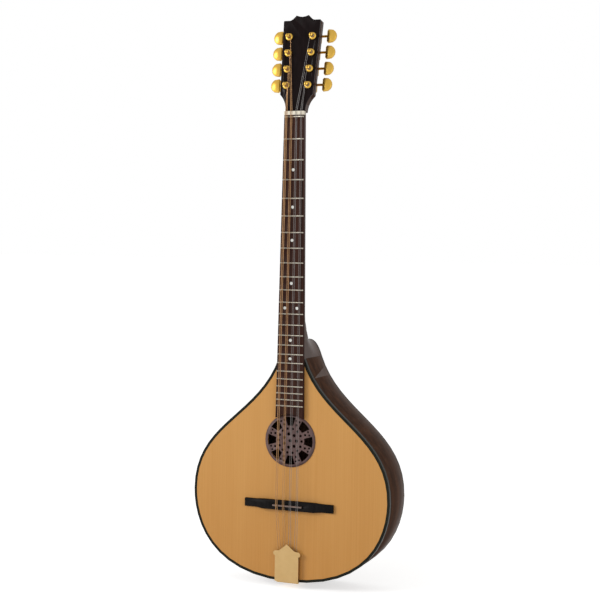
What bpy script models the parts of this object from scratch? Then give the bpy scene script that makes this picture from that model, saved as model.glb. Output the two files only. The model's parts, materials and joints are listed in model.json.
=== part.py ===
"""Irish bouzouki: eight strings, flat teardrop body, floating bridge and a hooked tailpiece.

Metres. The origin is the middle of the zero fret, level with the face of the fingerboard.
+Z runs up the neck to the head, the strings face -Y, and +X is to the right as they are seen.
The head has its own frame: x, y along the head from the nut, z out of its face.
"""

import math

import bmesh
import bpy
from mathutils import Matrix, Vector
from mathutils.geometry import interpolate_bezier

MM = 0.001

# Clearances
GAP = 0.3 * MM  # between pieces that are glued, screwed or laid on each other
RUN = 0.3 * MM  # around what turns or slides
WIND_GAP = 0.45 * MM  # between a winding and its post

# Scale, fingerboard and frets
SCALE = 660 * MM
FRETS = 23
BOARD_THICK = 7.2 * MM
BOARD_HALF_NUT = 17.7 * MM
BOARD_HALF_LAST = 24.5 * MM
FRET_WIDE = 2.4 * MM
FRET_HIGH = 1.1 * MM
FRET_ROOT = 0.4 * MM
FRET_END = 0.5 * MM
NUT_SPACE = 2.7 * MM
NUT_LONG = 6.2 * MM
NUT_RISE = 2.3 * MM

# Body
JOINT_FRET = 17
JOINT_ABOVE_FRET = 7.8 * MM
JOINT_HALF = 23.2 * MM
JOINT_LEAN = 0.34
NOSE_LONG = 28.5 * MM
WIDEST_BELOW_JOINT = 233.4 * MM
TAIL_BELOW_JOINT = 380.4 * MM
BODY_HALF = 177.4 * MM
BODY_DEEP = 86 * MM
FLANK_START = 107.6 * MM
FLANK_END = 115.3 * MM
BOUT_START = 56.3 * MM
BOUT_END = 145.7 * MM
NOSE_STEPS = 6
FLANK_STEPS = 17
BOUT_STEPS = 12
TOP_THICK = 3 * MM
BACK_THICK = 3 * MM
RIB_THICK = 2.5 * MM
LINING_WIDE = 9 * MM
LINING_HIGH = 6.5 * MM
LINING_SLOPE = 6 * MM
TOP_BINDING_WIDE = 4.4 * MM
TOP_BINDING_HIGH = 7 * MM
BACK_BINDING_WIDE = 3 * MM
NECK_BLOCK_LONG = 36 * MM
TAIL_BLOCK_THICK = 20 * MM
TAIL_BLOCK_HALF = 30 * MM
BRACE_WIDE = 8 * MM
BRACE_HIGH = 12 * MM
BRACE_SHORT = 3 * MM
BRACE_ABOVE_HOLE = 9 * MM
BRACE_BELOW_HOLE = 16 * MM

# Rose
ROSE_RADIUS = 45 * MM
ROSE_BELOW_LAST_FRET = 59.4 * MM
ROSE_THICK = 2.4 * MM
ROSE_SUNK = 1.2 * MM
ROSE_LEDGE = 4 * MM
ROSE_RIM = 4.3 * MM
ROSE_WINDOW_IN = 25.5 * MM
ROSE_WINDOW_COUNT = 8
ROSE_WINDOW_SPREAD = math.radians(27)
ROSE_PAIR_AT = 36.2 * MM
ROSE_PAIR_SWING = math.radians(4.8)
ROSE_PAIR_HOLE = 1.9 * MM
ROSE_SINGLE_AT = 29.2 * MM
ROSE_SINGLE_HOLE = 2.2 * MM
ROSE_BEAD_COUNT = 14
ROSE_BEAD_AT = 20.8 * MM
ROSE_BEAD_HOLE = 2.4 * MM
ROSE_HUB_COUNT = 7
ROSE_HUB_AT = 11.5 * MM
ROSE_HUB_HOLE = 3 * MM
ROSE_EYE = 3 * MM

# Bridge and saddle
SADDLE_SHORT_OF_SCALE = 5.5 * MM
SADDLE_HALF = 26 * MM
SADDLE_THICK = 2.4 * MM
SADDLE_SEAT = 3 * MM
SADDLE_FACE_Y = -4.6 * MM
BRIDGE_HALF = 80 * MM
BRIDGE_WING_IN = 60 * MM
BRIDGE_MIDDLE = 46 * MM
BRIDGE_WING_WIDE = 14 * MM
BRIDGE_WIDE = 16 * MM
BRIDGE_WING_HIGH = 4 * MM
BRIDGE_HIGH = 8.4 * MM
BRIDGE_EDGE = 1.2 * MM

# Tailpiece
PLATE_THICK = 1.2 * MM
PLATE_OFF_TOP = 1.1 * MM
PLATE_HALF = 20 * MM
PLATE_LONG = 52 * MM
LEG_HALF = 15 * MM
LEG_PAST_PIN = 3.9 * MM
HOOK_PITCH = 5 * MM
HOOK_RADIUS = 0.8 * MM
HOOK_HIGH = 3.2 * MM
HOOK_ABOVE_TAIL = 36 * MM
COVER_THICK = 1 * MM
COVER_ROOM = 5 * MM
COVER_LONG = 40 * MM
COVER_TAIL_EDGE = 1.6 * MM
COVER_EAR_RADIUS = 4.6 * MM
COVER_EAR_OUT = 19.9 * MM
COVER_EAR_UP = 7.8 * MM
COVER_PEAK_UP = 24 * MM
COVER_SHOULDER = 13.5 * MM
COVER_SHOULDER_UP = 14 * MM
PIN_FROM_TOP = 44 * MM
PIN_RADIUS = 4.5 * MM
PIN_TIP_RADIUS = 3.7 * MM
PIN_HEAD_RADIUS = 7.2 * MM
PIN_HEAD_LONG = 8.4 * MM
PIN_LONG = 24 * MM

# Neck and head
NECK_DEEP_NUT = 14 * MM
NECK_DEEP_HEEL = 16 * MM
HEEL_COVE = 46 * MM
HEEL_TIP = 0.6 * MM
VOLUTE_START = 9.5 * MM
VOLUTE_LONG = 20.5 * MM
VOLUTE_SUNK = 3.5 * MM
VOLUTE_RISE = 2.5 * MM
VOLUTE_DEEP = 17 * MM
VOLUTE_DROP = 5.5 * MM
VOLUTE_IN = 2.1 * MM
HEAD_PITCH = math.radians(10)
HEAD_BELOW_BOARD = 2 * MM
HEAD_THICK = 14.5 * MM
HEADPLATE_THICK = 1.5 * MM
HEAD_START = 10.2 * MM
HEAD_HALF_START = 17.4 * MM
HEAD_HALF_LOW = 29.2 * MM
HEAD_HALF_TOP = 33.3 * MM
HEAD_LOW = 38.7 * MM
HEAD_TOP = 167.8 * MM
HORN_OUT = 11 * MM
HORN_UP = 8.6 * MM
SCOOP_UP = 5.9 * MM

# Tuners
TUNERS_EACH_SIDE = 4
TUNER_FIRST = 54.5 * MM
TUNER_PITCH = 28.2 * MM
POST_OUT_LOW = 19.4 * MM
POST_OUT_TOP = 21 * MM
POST_RADIUS = 3 * MM
POST_WAIST = 2.6 * MM
POST_HEAD = 3.4 * MM
POST_HIGH = 10.4 * MM
POST_SLOT_WIDE = 1.3 * MM
POST_SLOT_DEEP = 1.6 * MM
BUSHING_WASHER = 6.7 * MM
BUSHING_COLLAR = 5.2 * MM
BUSHING_HIGH = 3 * MM
BUSHING_SLEEVE = 4.7 * MM
BUSHING_DEEP = 5 * MM
WHEEL_TEETH = 15
WHEEL_RADIUS = 4 * MM
WHEEL_WIDE = 2.4 * MM
WORM_RADIUS = 1.6 * MM
WORM_TURNS = 3
WORM_STEPS = 12
WORM_RINGS = 6
TOOTH_OUT = 0.45 * MM
TOOTH_IN = 0.6 * MM
TOOTH_PLAY = 0.3 * MM
WHEEL_DEPTH = 19.8 * MM
CASE_WALL = 1.2 * MM
CASE_HALF = 8 * MM
CASE_ROOM = 1.3 * MM
CASE_DEEP = 10.6 * MM
CASE_EAR_LONG = 5.5 * MM
CASE_EAR_HALF = 3.2 * MM
CASE_EAR_THICK = 1.5 * MM
CASE_SCREW = 1.3 * MM
KEY_SHAFT = 2.1 * MM
KEY_STUB = 0.8 * MM
BUTTON_FROM_POST = 18.8 * MM
BUTTON_WIDE = 16.8 * MM
BUTTON_HALF = 11.7 * MM
BUTTON_THICK = 5.6 * MM
BUTTON_EDGE = 1.2 * MM

# Strings, from the left as they are seen
STRING_RADII = [r * MM for r in (0.5, 0.5, 0.4, 0.4, 0.27, 0.27, 0.25, 0.25)]
COURSE_AT_NUT = 8.8 * MM
COURSE_AT_SADDLE = 12.4 * MM
PAIR_AT_NUT = 2.4 * MM
PAIR_AT_SADDLE = 2.7 * MM
WIND_TURNS = 2.25
WIND_STEPS = 10
WIND_SPACE = 0.5 * MM
STRING_LOOP_STEPS = 7


def fret_z(number):
    return -SCALE * (1 - 2 ** (-number / 12))


# Places that follow from the sizes above
TOP_Y = BOARD_THICK + GAP
BACK_Y = TOP_Y + BODY_DEEP
TOP_INNER_Y = TOP_Y + TOP_THICK + GAP
BACK_INNER_Y = BACK_Y - BACK_THICK - GAP
JOINT_Z = fret_z(JOINT_FRET) + JOINT_ABOVE_FRET
NOSE_Z = JOINT_Z + NOSE_LONG
WIDEST_Z = JOINT_Z - WIDEST_BELOW_JOINT
TAIL_Z = JOINT_Z - TAIL_BELOW_JOINT
ROSE_Z = fret_z(FRETS) - ROSE_BELOW_LAST_FRET
HOLE_RADIUS = ROSE_RADIUS - ROSE_LEDGE
SADDLE_Z = -SCALE + SADDLE_SHORT_OF_SCALE
HOOK_Z = TAIL_Z + HOOK_ABOVE_TAIL
PLATE_Y = TOP_Y - PLATE_OFF_TOP - PLATE_THICK
STRING_HOOK_Y = PLATE_Y - 0.4 * HOOK_HIGH
PIN_Y = TOP_Y + PIN_FROM_TOP
NUT_Z = NUT_SPACE + GAP + NUT_LONG
WORM_OFFSET = WHEEL_RADIUS + WORM_RADIUS
WORM_PITCH = 2 * math.pi * WHEEL_RADIUS / WHEEL_TEETH
HEAD_FRAME = Matrix.Translation((0, HEAD_BELOW_BOARD, 0)) @ Matrix.Rotation(
    math.pi / 2 - HEAD_PITCH, 4, "X"
)


def clear_scene():
    for obj in list(bpy.data.objects):
        bpy.data.objects.remove(obj, do_unlink=True)


def material(name, colour, roughness, metallic=0.0):
    mat = bpy.data.materials.get(name) or bpy.data.materials.new(name)
    mat.use_nodes = True
    shader = mat.node_tree.nodes["Principled BSDF"]
    shader.inputs["Base Color"].default_value = (*colour, 1)
    shader.inputs["Roughness"].default_value = roughness
    shader.inputs["Metallic"].default_value = metallic
    mat.diffuse_color = (*colour, 1)
    return mat


def spruce(name):
    return material(name, (0.62, 0.36, 0.14), 0.35)


def walnut(name):
    return material(name, (0.06, 0.03, 0.018), 0.4)


def pale_wood(name):
    return material(name, (0.5, 0.35, 0.2), 0.6)


def rosewood(name):
    return material(name, (0.05, 0.022, 0.018), 0.45)


def ebony(name):
    return material(name, (0.012, 0.01, 0.01), 0.3)


def rose_wood(name):
    return material(name, (0.1, 0.045, 0.04), 0.5)


def bone(name):
    return material(name, (0.8, 0.74, 0.62), 0.4)


def gold(name):
    return material(name, (0.75, 0.48, 0.12), 0.25, 1.0)


def pale_brass(name):
    return material(name, (0.62, 0.45, 0.24), 0.3, 1.0)


def wound_wire(name):
    return material(name, (0.5, 0.28, 0.12), 0.35, 1.0)


def plain_wire(name):
    return material(name, (0.6, 0.6, 0.6), 0.25, 1.0)


def finish(name, bm, mat=None, matrix=None):
    """Makes an object of a bmesh, with its faces turned outwards."""
    bmesh.ops.remove_doubles(bm, verts=bm.verts, dist=1e-7)
    bmesh.ops.recalc_face_normals(bm, faces=bm.faces)
    mesh = bpy.data.meshes.new(name)
    bm.to_mesh(mesh)
    bm.free()
    obj = bpy.data.objects.new(name, mesh)
    bpy.context.scene.collection.objects.link(obj)
    if mat:
        mesh.materials.append(mat)
    if matrix:
        obj.matrix_world = matrix
    return obj


def add_rings(bm, rings, ends=True, loop=False):
    """Skins a list of equal rings of points. With ends it closes both, with loop it joins last to first."""
    made = [[bm.verts.new(point) for point in ring] for ring in rings]
    pairs = list(zip(made, made[1:]))
    if loop:
        pairs.append((made[-1], made[0]))
    for one, two in pairs:
        for i in range(len(one)):
            j = (i + 1) % len(one)
            bm.faces.new((one[i], one[j], two[j], two[i]))
    if ends and not loop:
        bm.faces.new(made[0])
        bm.faces.new(made[-1])
    return made


def add_plate(bm, outline, low, high):
    """A flat piece in the plane of the soundboard: outline of (x, z), between two y."""
    add_rings(bm, [[(x, y, z) for x, z in outline] for y in (low, high)])


def add_slab(bm, outline, low, high):
    """A flat piece in the head's frame: outline of (x, y), between two heights."""
    add_rings(bm, [[(x, y, z) for x, y in outline] for z in (low, high)])


def add_box(bm, low, high):
    outline = [(low[0], low[1]), (high[0], low[1]), (high[0], high[1]), (low[0], high[1])]
    add_slab(bm, outline, low[2], high[2])


def add_turned(bm, profile, steps, matrix=Matrix(), closed=False):
    """Turns (radius, height) points about z. A closed profile makes a ring with a bore."""
    rings = []
    for radius, height in profile:
        angles = [2 * math.pi * i / steps for i in range(steps)]
        ring = [Vector((radius * math.cos(a), radius * math.sin(a), height)) for a in angles]
        rings.append([matrix @ point for point in ring])
    add_rings(bm, rings, ends=not closed, loop=closed)


def circle(radius, steps, centre=(0, 0), start=0.0):
    angles = [start + 2 * math.pi * i / steps for i in range(steps)]
    return [(centre[0] + radius * math.cos(a), centre[1] + radius * math.sin(a)) for a in angles]


def cutter(name, bm):
    obj = finish(name, bm)
    obj.hide_render = True
    obj.display_type = "WIRE"
    return obj


def boolean(obj, other, operation="DIFFERENCE"):
    step = obj.modifiers.new(other.name, "BOOLEAN")
    step.object = other
    step.operation = operation
    step.solver = "EXACT"


def smooth(obj, degrees=35):
    """Smooth shading, with the edges sharper than this kept sharp."""
    mesh = obj.data
    mesh.shade_smooth()
    mesh.set_sharp_from_angle(angle=math.radians(degrees))


def baked(obj):
    """The mesh of an object with its modifiers applied; the object and its cutters are removed."""
    graph = bpy.context.evaluated_depsgraph_get()
    mesh = bpy.data.meshes.new_from_object(obj.evaluated_get(graph))
    for step in obj.modifiers:
        if step.type == "BOOLEAN":
            bpy.data.objects.remove(step.object)
    bpy.data.objects.remove(obj)
    return mesh


def bezier(start, start_handle, end_handle, end, steps):
    points = interpolate_bezier(
        Vector(start), Vector(start_handle), Vector(end_handle), Vector(end), steps + 1
    )
    return [Vector((p[0], p[1])) for p in points]


def nose_points():
    """The heel's outline, from the tip of the nose to the joint."""
    lean = Vector((math.sin(JOINT_LEAN), -math.cos(JOINT_LEAN)))
    end = Vector((JOINT_HALF, JOINT_Z))
    return bezier(
        (0, NOSE_Z), (0.52 * JOINT_HALF, NOSE_Z), end - 0.5 * NOSE_LONG * lean, end, NOSE_STEPS
    )


def rib_points():
    """The body's outline, from the joint to the tail."""
    lean = Vector((math.sin(JOINT_LEAN), -math.cos(JOINT_LEAN)))
    start = Vector((JOINT_HALF, JOINT_Z)) + lean * GAP
    flank = bezier(
        start,
        start + lean * FLANK_START,
        (BODY_HALF, WIDEST_Z + FLANK_END),
        (BODY_HALF, WIDEST_Z),
        FLANK_STEPS,
    )
    bout = bezier(
        (BODY_HALF, WIDEST_Z),
        (BODY_HALF, WIDEST_Z - BOUT_START),
        (BOUT_END, TAIL_Z),
        (0, TAIL_Z),
        BOUT_STEPS,
    )
    return flank + bout[1:]


def with_insets(points, flat_start):
    """Pairs of a point and the way inwards there. A flat start is cut square across the neck."""
    stations = []
    for i, point in enumerate(points):
        before = points[max(i - 1, 0)]
        after = points[min(i + 1, len(points) - 1)]
        way = (after - before).normalized()
        inward = Vector((way.y, -way.x))
        if i == 0:
            inward = Vector((-1 / math.cos(JOINT_LEAN), 0)) if flat_start else Vector((0, -1))
        if i == len(points) - 1:
            inward = Vector((0, 1))
        stations.append((point, inward))
    return stations


RIB_STATIONS = with_insets(rib_points(), True)
RING_STATIONS = with_insets(nose_points()[:-1] + rib_points(), False)


def inset_outline(stations, inset):
    """The whole closed outline, right side then left, moved in by a distance."""
    right = [point + way * inset for point, way in stations]
    right[-1].x = 0
    left = [Vector((-p.x, p.y)) for p in reversed(right[:-1])]
    if abs(right[0].x) < 1e-9:
        left = left[:-1]
    return [(p.x, p.y) for p in right + left]


def half_width(z, inset):
    """The body's half width at a height, inside an inset."""
    line = [point + way * inset for point, way in RIB_STATIONS]
    for one, two in zip(line, line[1:]):
        if two.y <= z <= one.y and one.y > two.y:
            return one.x + (two.x - one.x) * (one.y - z) / (one.y - two.y)
    return line[0].x if z > line[0].y else 0.0


def rose_cutter(radius, low, high, steps):
    bm = bmesh.new()
    add_plate(bm, circle(radius, steps, (0, ROSE_Z)), low, high)
    return bm


def make_soundboard():
    bm = bmesh.new()
    outline = inset_outline(RIB_STATIONS, TOP_BINDING_WIDE + GAP)
    add_plate(bm, outline, TOP_Y, TOP_Y + TOP_THICK)
    board = finish("soundboard", bm, spruce("spruce_top"))
    hole = rose_cutter(HOLE_RADIUS, TOP_Y - 5 * MM, TOP_Y + TOP_THICK + 5 * MM, 36)
    boolean(board, cutter("cut_soundhole", hole))
    step = rose_cutter(ROSE_RADIUS + GAP, TOP_Y - 5 * MM, TOP_Y + ROSE_THICK - ROSE_SUNK + GAP, 36)
    boolean(board, cutter("cut_rose_seat", step))
    return board


def make_back_plate():
    bm = bmesh.new()
    outline = inset_outline(RING_STATIONS, BACK_BINDING_WIDE + GAP)
    add_plate(bm, outline, BACK_Y - BACK_THICK, BACK_Y)
    return finish("back_plate", bm, walnut("walnut_back"))


def add_band(bm, stations, section, side=1, ends=True, loop=False):
    """Runs a section of (inset, y) along the outline, on the right (1) or the left (-1)."""
    rings = []
    for point, way in stations:
        places = [(point + way * inset, y) for inset, y in section]
        rings.append([(side * p.x, y, p.y) for p, y in places])
    add_rings(bm, rings, ends=ends, loop=loop)


def both_sides(stations, closed):
    """The stations of the right side down, then of the left side up."""
    left = [(Vector((-p.x, p.y)), Vector((-w.x, w.y))) for p, w in reversed(stations[:-1])]
    return stations + (left[:-1] if closed else left)


def make_bindings():
    bm = bmesh.new()
    low, high = TOP_Y, TOP_Y + TOP_BINDING_HIGH
    section = [(0, low), (TOP_BINDING_WIDE, low), (TOP_BINDING_WIDE, high), (0, high)]
    add_band(bm, both_sides(RIB_STATIONS, False), section)
    top = finish("top_binding", bm, ebony("black_binding"))
    smooth(top)
    bm = bmesh.new()
    low, high = BACK_Y - BACK_THICK, BACK_Y
    section = [(0, low), (BACK_BINDING_WIDE, low), (BACK_BINDING_WIDE, high), (0, high)]
    add_band(bm, both_sides(RING_STATIONS, True), section, loop=True)
    back = finish("back_binding", bm, ebony("black_back_binding"))
    smooth(back)
    return top, back


def make_side(name, side):
    """One rib with its two linings, which carry the soundboard and the back."""
    rim = TOP_Y + TOP_BINDING_HIGH + GAP
    ledge = TOP_BINDING_WIDE + GAP
    lining_end = TOP_INNER_Y + LINING_HIGH
    section = [
        (0, rim),
        (ledge, rim),
        (ledge, TOP_INNER_Y),
        (LINING_WIDE, TOP_INNER_Y),
        (LINING_WIDE, lining_end),
        (RIB_THICK, lining_end + LINING_SLOPE),
        (RIB_THICK, BACK_INNER_Y - LINING_HIGH - LINING_SLOPE),
        (LINING_WIDE, BACK_INNER_Y - LINING_HIGH),
        (LINING_WIDE, BACK_INNER_Y),
        (0, BACK_INNER_Y),
    ]
    stations = RIB_STATIONS[:-1]
    last, way = RIB_STATIONS[-1]
    stations = stations + [(Vector((GAP / 2, last.y)), way)]
    bm = bmesh.new()
    add_band(bm, stations, section, side)
    rib = finish(name, bm, walnut(name + "_walnut"))
    boolean(rib, pin_cutter("cut_pin_" + name))
    smooth(rib)
    return rib


def pin_cutter(name):
    bm = bmesh.new()
    place = Matrix.Translation((0, PIN_Y, TAIL_Z))
    profile = [(PIN_RADIUS + RUN, -10 * MM), (PIN_RADIUS + RUN, PIN_LONG + 15 * MM)]
    add_turned(bm, profile, 16, place)
    return cutter(name, bm)


def make_blocks():
    bm = bmesh.new()
    inset = LINING_WIDE + GAP
    top = JOINT_Z - 2 * GAP
    low = top - NECK_BLOCK_LONG
    levels = [top + (low - top) * i / 4 for i in range(5)]
    right = [(half_width(z, inset), z) for z in levels]
    add_plate(bm, right + [(-x, z) for x, z in reversed(right)], TOP_INNER_Y, BACK_INNER_Y)
    neck_block = finish("neck_block", bm, pale_wood("neck_block_wood"))
    bm = bmesh.new()
    line = [point + way * inset for point, way in RIB_STATIONS]
    inner = [p for p in line if p.x < TAIL_BLOCK_HALF and p.y < WIDEST_Z]
    edge_z = tail_line_z(line, TAIL_BLOCK_HALF)
    right = [(TAIL_BLOCK_HALF, edge_z)] + [(p.x, p.y) for p in inner if p.x > 1e-6]
    right.append((0, line[-1].y))
    left = [(-x, z) for x, z in reversed(right[:-1])]
    top_z = line[-1].y + TAIL_BLOCK_THICK
    outline = [(-TAIL_BLOCK_HALF, top_z), (TAIL_BLOCK_HALF, top_z)] + right + left
    add_plate(bm, outline, TOP_INNER_Y, BACK_INNER_Y)
    tail_block = finish("tail_block", bm, pale_wood("tail_block_wood"))
    boolean(tail_block, pin_cutter("cut_pin_block"))
    return neck_block, tail_block


def tail_line_z(line, x):
    for one, two in zip(line, line[1:]):
        if two.x <= x <= one.x and one.y < WIDEST_Z:
            return one.y + (two.y - one.y) * (one.x - x) / (one.x - two.x)
    return line[-1].y


def make_brace(name, z):
    """A bar across the inside of the soundboard, with its ends cut down."""
    ends = [half_width(z + side * BRACE_WIDE / 2, LINING_WIDE) for side in (-1, 1)]
    half = min(ends) - BRACE_SHORT
    low, high = TOP_INNER_Y, TOP_INNER_Y + BRACE_HIGH
    shape = [(-half, low), (half, low), (half, low + 4 * MM), (0.8 * half, high)]
    shape += [(-0.8 * half, high), (-half, low + 4 * MM)]
    bm = bmesh.new()
    levels = (z - BRACE_WIDE / 2, z + BRACE_WIDE / 2)
    add_rings(bm, [[(x, y, level) for x, y in shape] for level in levels])
    return finish(name, bm, pale_wood(name + "_wood"))


def make_rose():
    """A round pierced rose: a rim, windows, small holes between them, and a hub."""
    front = TOP_Y - ROSE_SUNK
    bm = bmesh.new()
    add_plate(bm, circle(ROSE_RADIUS, 36, (0, ROSE_Z)), front, front + ROSE_THICK)
    rose = finish("rose", bm, rose_wood("rose_wood"))
    low, high = front - 3 * MM, front + ROSE_THICK + 3 * MM
    bm = bmesh.new()
    for i in range(ROSE_WINDOW_COUNT):
        middle = 2 * math.pi * i / ROSE_WINDOW_COUNT
        add_plate(bm, rose_window(middle), low, high)
        between = middle + math.pi / ROSE_WINDOW_COUNT
        for away, swing, hole in (
            (ROSE_PAIR_AT, ROSE_PAIR_SWING, ROSE_PAIR_HOLE),
            (ROSE_PAIR_AT, -ROSE_PAIR_SWING, ROSE_PAIR_HOLE),
            (ROSE_SINGLE_AT, 0, ROSE_SINGLE_HOLE),
        ):
            angle = between + swing
            spot = (away * math.cos(angle), ROSE_Z + away * math.sin(angle))
            add_plate(bm, circle(hole, 7, spot), low, high)
    for count, away, hole in (
        (ROSE_BEAD_COUNT, ROSE_BEAD_AT, ROSE_BEAD_HOLE),
        (ROSE_HUB_COUNT, ROSE_HUB_AT, ROSE_HUB_HOLE),
    ):
        for x, z in circle(away, count, (0, ROSE_Z)):
            add_plate(bm, circle(hole, 7, (x, z)), low, high)
    add_plate(bm, circle(ROSE_EYE, 8, (0, ROSE_Z)), low, high)
    boolean(rose, cutter("cut_rose", bm))
    return rose


def rose_window(middle):
    """A window wider at the rim than at the hub."""
    outer = ROSE_RADIUS - ROSE_RIM
    spread = ROSE_WINDOW_SPREAD / 2
    points = []
    for i in range(5):
        angle = middle - spread + 2 * spread * i / 4
        points.append((outer * math.cos(angle), ROSE_Z + outer * math.sin(angle)))
    for i in range(3):
        angle = middle + 0.8 * spread * (1 - i)
        points.append((ROSE_WINDOW_IN * math.cos(angle), ROSE_Z + ROSE_WINDOW_IN * math.sin(angle)))
    return points


def board_half(z):
    return BOARD_HALF_NUT + (BOARD_HALF_LAST - BOARD_HALF_NUT) * z / fret_z(FRETS)


def make_fingerboard():
    """The board, ended by a hollow that follows the rose, with its frets."""
    reach = ROSE_RADIUS + 2 * GAP
    side_z = ROSE_Z + reach
    for _ in range(6):
        side_z = ROSE_Z + math.sqrt(reach**2 - board_half(side_z) ** 2)
    start = math.atan2(side_z - ROSE_Z, board_half(side_z))
    arc = []
    for i in range(11):
        angle = start + (math.pi - 2 * start) * i / 10
        arc.append((reach * math.cos(angle), ROSE_Z + reach * math.sin(angle)))
    half = board_half(NUT_SPACE)
    bm = bmesh.new()
    add_plate(bm, [(-half, NUT_SPACE), (half, NUT_SPACE)] + arc, 0, BOARD_THICK)
    board = finish("fingerboard", bm, rosewood("rosewood_board"))
    bm = bmesh.new()
    for number in range(FRETS + 1):
        add_fret(bm, fret_z(number))
    boolean(board, cutter("join_frets", bm), "UNION")
    return board


def add_fret(bm, z):
    half = board_half(z) - FRET_END
    wide = FRET_WIDE / 2
    shape = [
        (-wide, FRET_ROOT),
        (-wide, -0.35 * FRET_HIGH),
        (-0.45 * wide, -FRET_HIGH),
        (0.45 * wide, -FRET_HIGH),
        (wide, -0.35 * FRET_HIGH),
        (wide, FRET_ROOT),
    ]
    add_rings(bm, [[(x, y, z + along) for along, y in shape] for x in (-half, half)])


def string_x(index, course, pair):
    """A string's place across, for a spacing of courses and of the two strings of one."""
    side = -1 if index % 2 == 0 else 1
    return (index // 2 - 1.5) * course + side * pair / 2


def string_y(index):
    """A string's centre where it lies on the zero fret and in the nut."""
    return -FRET_HIGH - GAP - STRING_RADII[index]


def make_nut():
    half = board_half(NUT_Z)
    low = NUT_SPACE + GAP
    bm = bmesh.new()
    add_plate(bm, [(-half, low), (half, low), (half, NUT_Z), (-half, NUT_Z)], -NUT_RISE, BOARD_THICK)
    nut = finish("nut", bm, bone("bone_nut"))
    bm = bmesh.new()
    for index, radius in enumerate(STRING_RADII):
        x = string_x(index, COURSE_AT_NUT, PAIR_AT_NUT)
        wide = radius + GAP
        slot = [(x - wide, low - MM), (x + wide, low - MM), (x + wide, NUT_Z + MM), (x - wide, NUT_Z + MM)]
        add_plate(bm, slot, -NUT_RISE - MM, -FRET_HIGH)
    boolean(nut, cutter("cut_nut_slots", bm))
    return nut


def make_bridge():
    """A bar with low wings and a higher, wider middle, slotted for the saddle."""
    base = TOP_Y - GAP
    half = [
        (BRIDGE_HALF, BRIDGE_WING_WIDE, BRIDGE_WING_HIGH),
        (BRIDGE_WING_IN, BRIDGE_WING_WIDE, BRIDGE_WING_HIGH),
        (BRIDGE_MIDDLE, BRIDGE_WIDE, BRIDGE_HIGH),
    ]
    stations = half + [(-x, wide, high) for x, wide, high in reversed(half)]
    rings = []
    for x, wide, high in stations:
        w = wide / 2
        face = base - high
        shape = [(-w, base), (-w, face + BRIDGE_EDGE), (-w + BRIDGE_EDGE, face)]
        shape += [(w - BRIDGE_EDGE, face), (w, face + BRIDGE_EDGE), (w, base)]
        rings.append([(x, y, SADDLE_Z + along) for along, y in shape])
    bm = bmesh.new()
    add_rings(bm, rings)
    bridge = finish("bridge", bm, ebony("ebony_bridge"))
    slot_half = SADDLE_HALF + GAP
    slot_wide = SADDLE_THICK / 2 + GAP
    floor = base - BRIDGE_HIGH + SADDLE_SEAT
    bm = bmesh.new()
    low = (-slot_half, base - BRIDGE_HIGH - 5 * MM, SADDLE_Z - slot_wide)
    add_box(bm, low, (slot_half, floor, SADDLE_Z + slot_wide))
    boolean(bridge, cutter("cut_saddle_slot", bm))
    bm = bmesh.new()
    low = (-SADDLE_HALF, SADDLE_FACE_Y, SADDLE_Z - SADDLE_THICK / 2)
    add_box(bm, low, (SADDLE_HALF, floor - GAP, SADDLE_Z + SADDLE_THICK / 2))
    saddle = finish("saddle", bm, bone("bone_saddle"))
    return bridge, saddle


def make_tailpiece_base():
    """A bent plate with eight hooks, screwed down the tail by its leg."""
    outer = TAIL_Z - GAP - PLATE_THICK
    bm = bmesh.new()
    low = (-PLATE_HALF, PLATE_Y, outer)
    add_box(bm, low, (PLATE_HALF, PLATE_Y + PLATE_THICK, TAIL_Z + PLATE_LONG))
    base = finish("tailpiece_base", bm, pale_brass("brass_base"))
    bm = bmesh.new()
    leg_end = PIN_Y + PIN_RADIUS + RUN + LEG_PAST_PIN
    add_box(bm, (-LEG_HALF, PLATE_Y + 0.5 * PLATE_THICK, outer), (LEG_HALF, leg_end, TAIL_Z - GAP))
    boolean(base, cutter("join_leg", bm), "UNION")
    bm = bmesh.new()
    for index in range(len(STRING_RADII)):
        place = Matrix.Translation((hook_x(index), PLATE_Y, HOOK_Z)) @ Matrix.Rotation(math.pi / 2, 4, "X")
        profile = [(HOOK_RADIUS, -0.5 * PLATE_THICK), (HOOK_RADIUS, HOOK_HIGH)]
        add_turned(bm, profile, 8, place)
    boolean(base, cutter("join_hooks", bm), "UNION")
    boolean(base, pin_cutter("cut_pin_leg"))
    return base


def hook_x(index):
    return (index - (len(STRING_RADII) - 1) / 2) * HOOK_PITCH


def make_tailpiece_cover():
    """The cover: a flat plate with a peak and two ears, and flanges that grip the base."""
    inner = PLATE_Y - COVER_ROOM
    half = PLATE_HALF + RUN + COVER_THICK
    low = TAIL_Z + COVER_TAIL_EDGE
    high = low + COVER_LONG
    ear = Vector((COVER_EAR_OUT, high + COVER_EAR_UP))
    right = [(half, low), (half, high)]
    for i in range(7):
        angle = math.radians(-75 + 185 * i / 6)
        right.append((ear.x + COVER_EAR_RADIUS * math.cos(angle), ear.y + COVER_EAR_RADIUS * math.sin(angle)))
    right += [(COVER_SHOULDER, high + COVER_SHOULDER_UP - MM), (0.45 * COVER_SHOULDER, high + COVER_SHOULDER_UP + 5 * MM)]
    outline = right + [(0, high + COVER_PEAK_UP)] + [(-x, z) for x, z in reversed(right)]
    bm = bmesh.new()
    add_plate(bm, outline, inner - COVER_THICK, inner)
    cover = finish("tailpiece_cover", bm, pale_brass("brass_cover"))
    bm = bmesh.new()
    for side in (-1, 1):
        edges = sorted((side * half, side * (PLATE_HALF + RUN)))
        add_box(bm, (edges[0], inner - 0.5 * COVER_THICK, low), (edges[1], PLATE_Y + PLATE_THICK, high - MM))
    boolean(cover, cutter("join_flanges", bm), "UNION")
    return cover


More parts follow.
